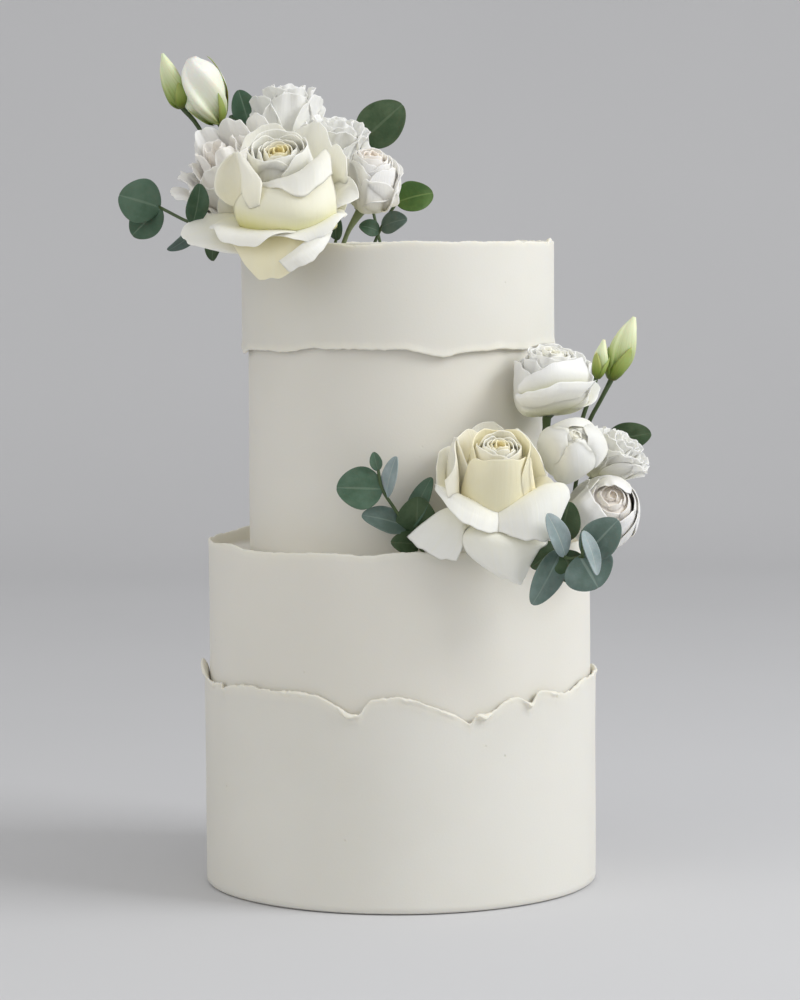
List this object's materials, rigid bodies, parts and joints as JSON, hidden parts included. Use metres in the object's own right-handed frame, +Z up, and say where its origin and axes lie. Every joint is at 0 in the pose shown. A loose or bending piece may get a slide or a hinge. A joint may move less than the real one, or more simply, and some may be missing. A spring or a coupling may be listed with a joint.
{
  "type": "wedding cake",
  "caption": "Tall two-tier round cake in torn layers of ivory icing, with fresh roses, spray flowers, buds and eucalyptus on its top and ledge.",
  "frame": {"origin": "centre of the cake's round bottom face, where it rests", "axes": "+Z up along the tiers' common axis; -Y is the front that faces the viewer; +X is the viewer's right, where the flowers on the ledge are"},
  "size_m": [0.2671, 0.2252, 0.4217],
  "materials": {
    "icing": "smooth ivory icing with a soft matte surface",
    "ivory_petal": "fresh ivory petals, satin",
    "white_petal": "fresh white petals, satin",
    "blush_petal": "fresh petals with a blush tint, satin",
    "bud_green": "fresh green buds and stems",
    "eucalyptus_leaf": "blue-green leaves with a waxy bloom"
  },
  "bodies": {
    "root": {"lower_tier": "icing", "lower_wrap": "icing", "upper_tier": "icing", "upper_band": "icing", "top_rose": "ivory_petal", "top_lisianthus": "blush_petal", "top_ruffle_back": "white_petal", "top_ruffle_right": "white_petal", "top_spray_rose": "blush_petal", "side_rose": "ivory_petal", "side_spray_rose_upper": "white_petal", "side_spray_rose_round": "white_petal", "side_ruffle": "white_petal", "side_spray_rose_blush": "blush_petal", "top_bud_closed": "bud_green", "top_bud_opening": "bud_green", "side_bud_tall": "bud_green", "side_bud_small": "bud_green", "eucalyptus_top_left": "eucalyptus_leaf", "eucalyptus_top_back": "eucalyptus_leaf", "eucalyptus_top_dark": "eucalyptus_leaf", "eucalyptus_top_right": "eucalyptus_leaf", "eucalyptus_side_left": "eucalyptus_leaf", "eucalyptus_side_low": "eucalyptus_leaf", "eucalyptus_side_right": "eucalyptus_leaf"}
  },
  "joints": []
}
